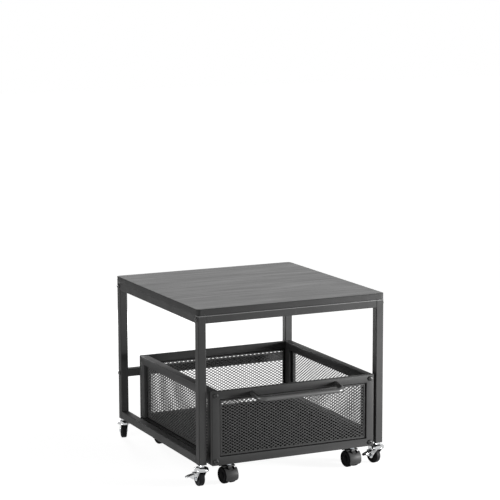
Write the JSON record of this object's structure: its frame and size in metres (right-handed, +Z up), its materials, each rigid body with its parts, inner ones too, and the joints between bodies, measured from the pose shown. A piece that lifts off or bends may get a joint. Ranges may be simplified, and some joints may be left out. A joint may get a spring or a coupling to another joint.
{
  "type": "mini fridge stand",
  "caption": "Low rolling stand: black board on a square-tube frame with swivel casters, over a wheeled mesh basket with a bow handle that rolls out to the front.",
  "frame": {"origin": "on the floor under the centre of the board", "axes": "+X to the right seen from the front, +Y to the back, +Z up"},
  "size_m": [0.5295, 0.5989, 0.43],
  "materials": {
    "board": "black wood-grain laminate",
    "frame_paint": "satin black",
    "basket_paint": "satin black",
    "handle_paint": "semi-gloss black",
    "floor_board": "black laminate",
    "black_bolt": "black oxide",
    "zinc": "zinc plate",
    "chrome": "polished",
    "wheel_black": "hard black rubber",
    "black_plastic": "moulded"
  },
  "bodies": {
    "stand": {"tabletop": "board", "front_left_leg": "frame_paint", "front_right_leg": "frame_paint", "rear_left_leg": "frame_paint", "rear_right_leg": "frame_paint", "left_top_rail": "frame_paint", "right_top_rail": "frame_paint", "left_low_rail": "frame_paint", "right_low_rail": "frame_paint", "front_rail": "frame_paint", "rear_rail": "frame_paint", "rear_brace": "frame_paint", "frame_bolts": "black_bolt", "rail_nuts": "zinc", "tabletop_screws": "zinc", "foot_plugs": "black_plastic", "stand_caster_stems": "chrome"},
    "basket": {"front_panel": "basket_paint", "rear_panel": "basket_paint", "left_panel": "basket_paint", "right_panel": "basket_paint", "basket_floor": "floor_board", "front_floor_bar": "basket_paint", "rear_floor_bar": "basket_paint", "basket_handle": "handle_paint", "handle_screws": "black_bolt", "panel_bolts": "black_bolt", "basket_caster_stems": "zinc", "basket_caster_nuts": "zinc"},
    "front_left_swivel": {"front_left_fork": "chrome", "front_left_axle": "zinc"},
    "front_left_roller": {"front_left_wheel": "wheel_black"},
    "front_left_brake": {"front_left_brake_lever": "chrome"},
    "front_right_swivel": {"front_right_fork": "chrome", "front_right_axle": "zinc"},
    "front_right_roller": {"front_right_wheel": "wheel_black"},
    "front_right_brake": {"front_right_brake_lever": "chrome"},
    "rear_left_swivel": {"rear_left_fork": "chrome", "rear_left_axle": "zinc"},
    "rear_left_roller": {"rear_left_wheel": "wheel_black"},
    "rear_right_swivel": {"rear_right_fork": "chrome", "rear_right_axle": "zinc"},
    "rear_right_roller": {"rear_right_wheel": "wheel_black"},
    "basket_front_left_swivel": {"basket_front_left_hood": "black_plastic", "basket_front_left_axle": "zinc"},
    "basket_front_left_roller_a": {"basket_front_left_wheel_a": "wheel_black"},
    "basket_front_left_roller_b": {"basket_front_left_wheel_b": "wheel_black"},
    "basket_front_right_swivel": {"basket_front_right_hood": "black_plastic", "basket_front_right_axle": "zinc"},
    "basket_front_right_roller_a": {"basket_front_right_wheel_a": "wheel_black"},
    "basket_front_right_roller_b": {"basket_front_right_wheel_b": "wheel_black"},
    "basket_rear_left_swivel": {"basket_rear_left_hood": "black_plastic", "basket_rear_left_axle": "zinc"},
    "basket_rear_left_roller_a": {"basket_rear_left_wheel_a": "wheel_black"},
    "basket_rear_left_roller_b": {"basket_rear_left_wheel_b": "wheel_black"},
    "basket_rear_right_swivel": {"basket_rear_right_hood": "black_plastic", "basket_rear_right_axle": "zinc"},
    "basket_rear_right_roller_a": {"basket_rear_right_wheel_a": "wheel_black"},
    "basket_rear_right_roller_b": {"basket_rear_right_wheel_b": "wheel_black"}
  },
  "joints": [
    {"name": "basket_roll", "type": "slide", "parent": "stand", "child": "basket", "axis": [0, -1, 0], "range_m": [-0.05, 0.5]},
    {"name": "front_left_swivel_turn", "type": "hinge", "parent": "stand", "child": "front_left_swivel", "pos_m": [-0.2375, -0.2495, 0.0415], "axis": [0, 0, 1], "continuous": true},
    {"name": "front_left_wheel_spin", "type": "hinge", "parent": "front_left_swivel", "child": "front_left_roller", "pos_m": [-0.2375, -0.2375, 0.019], "axis": [1, 0, 0], "continuous": true},
    {"name": "front_left_brake_press", "type": "hinge", "parent": "front_left_swivel", "child": "front_left_brake", "pos_m": [-0.25, -0.2375, 0.0305], "axis": [0, 1, 0], "range_deg": [0, 25]},
    {"name": "front_right_swivel_turn", "type": "hinge", "parent": "stand", "child": "front_right_swivel", "pos_m": [0.2375, -0.2495, 0.0415], "axis": [0, 0, 1], "continuous": true},
    {"name": "front_right_wheel_spin", "type": "hinge", "parent": "front_right_swivel", "child": "front_right_roller", "pos_m": [0.23439, -0.23791, 0.019], "axis": [0.9659, 0.2588, 0], "continuous": true},
    {"name": "front_right_brake_press", "type": "hinge", "parent": "front_right_swivel", "child": "front_right_brake", "pos_m": [0.22232, -0.24114, 0.0305], "axis": [-0.2588, 0.9659, 0], "range_deg": [0, 25]},
    {"name": "rear_left_swivel_turn", "type": "hinge", "parent": "stand", "child": "rear_left_swivel", "pos_m": [-0.2375, 0.2495, 0.0415], "axis": [0, 0, 1], "continuous": true},
    {"name": "rear_left_wheel_spin", "type": "hinge", "parent": "rear_left_swivel", "child": "rear_left_roller", "pos_m": [-0.2346, 0.26114, 0.019], "axis": [0.9703, -0.2419, 0], "continuous": true},
    {"name": "rear_right_swivel_turn", "type": "hinge", "parent": "stand", "child": "rear_right_swivel", "pos_m": [0.2375, 0.2495, 0.0415], "axis": [0, 0, 1], "continuous": true},
    {"name": "rear_right_wheel_spin", "type": "hinge", "parent": "rear_right_swivel", "child": "rear_right_roller", "pos_m": [0.23958, 0.26132, 0.019], "axis": [0.9848, -0.1736, 0], "continuous": true},
    {"name": "basket_front_left_swivel_turn", "type": "hinge", "parent": "basket", "child": "basket_front_left_swivel", "pos_m": [-0.1665, -0.249, 0.036], "axis": [0, 0, 1], "continuous": true},
    {"name": "basket_front_left_wheel_a_spin", "type": "hinge", "parent": "basket_front_left_swivel", "child": "basket_front_left_roller_a", "pos_m": [-0.16734, -0.24306, 0.021], "axis": [0.9903, 0.1392, 0], "continuous": true},
    {"name": "basket_front_left_wheel_b_spin", "type": "hinge", "parent": "basket_front_left_swivel", "child": "basket_front_left_roller_b", "pos_m": [-0.16734, -0.24306, 0.021], "axis": [0.9903, 0.1392, 0], "continuous": true},
    {"name": "basket_front_right_swivel_turn", "type": "hinge", "parent": "basket", "child": "basket_front_right_swivel", "pos_m": [0.1665, -0.249, 0.036], "axis": [0, 0, 1], "continuous": true},
    {"name": "basket_front_right_wheel_a_spin", "type": "hinge", "parent": "basket_front_right_swivel", "child": "basket_front_right_roller_a", "pos_m": [0.16567, -0.24306, 0.021], "axis": [0.9903, 0.1392, 0], "continuous": true},
    {"name": "basket_front_right_wheel_b_spin", "type": "hinge", "parent": "basket_front_right_swivel", "child": "basket_front_right_roller_b", "pos_m": [0.16567, -0.24306, 0.021], "axis": [0.9903, 0.1392, 0], "continuous": true},
    {"name": "basket_rear_left_swivel_turn", "type": "hinge", "parent": "basket", "child": "basket_rear_left_swivel", "pos_m": [-0.1665, 0.169, 0.036], "axis": [0, 0, 1], "continuous": true},
    {"name": "basket_rear_left_wheel_a_spin", "type": "hinge", "parent": "basket_rear_left_swivel", "child": "basket_rear_left_roller_a", "pos_m": [-0.16567, 0.16306, 0.021], "axis": [-0.9903, -0.1392, 0], "continuous": true},
    {"name": "basket_rear_left_wheel_b_spin", "type": "hinge", "parent": "basket_rear_left_swivel", "child": "basket_rear_left_roller_b", "pos_m": [-0.16567, 0.16306, 0.021], "axis": [-0.9903, -0.1392, 0], "continuous": true},
    {"name": "basket_rear_right_swivel_turn", "type": "hinge", "parent": "basket", "child": "basket_rear_right_swivel", "pos_m": [0.1665, 0.169, 0.036], "axis": [0, 0, 1], "continuous": true},
    {"name": "basket_rear_right_wheel_a_spin", "type": "hinge", "parent": "basket_rear_right_swivel", "child": "basket_rear_right_roller_a", "pos_m": [0.16734, 0.16306, 0.021], "axis": [-0.9903, -0.1392, 0], "continuous": true},
    {"name": "basket_rear_right_wheel_b_spin", "type": "hinge", "parent": "basket_rear_right_swivel", "child": "basket_rear_right_roller_b", "pos_m": [0.16734, 0.16306, 0.021], "axis": [-0.9903, -0.1392, 0], "continuous": true}
  ]
}
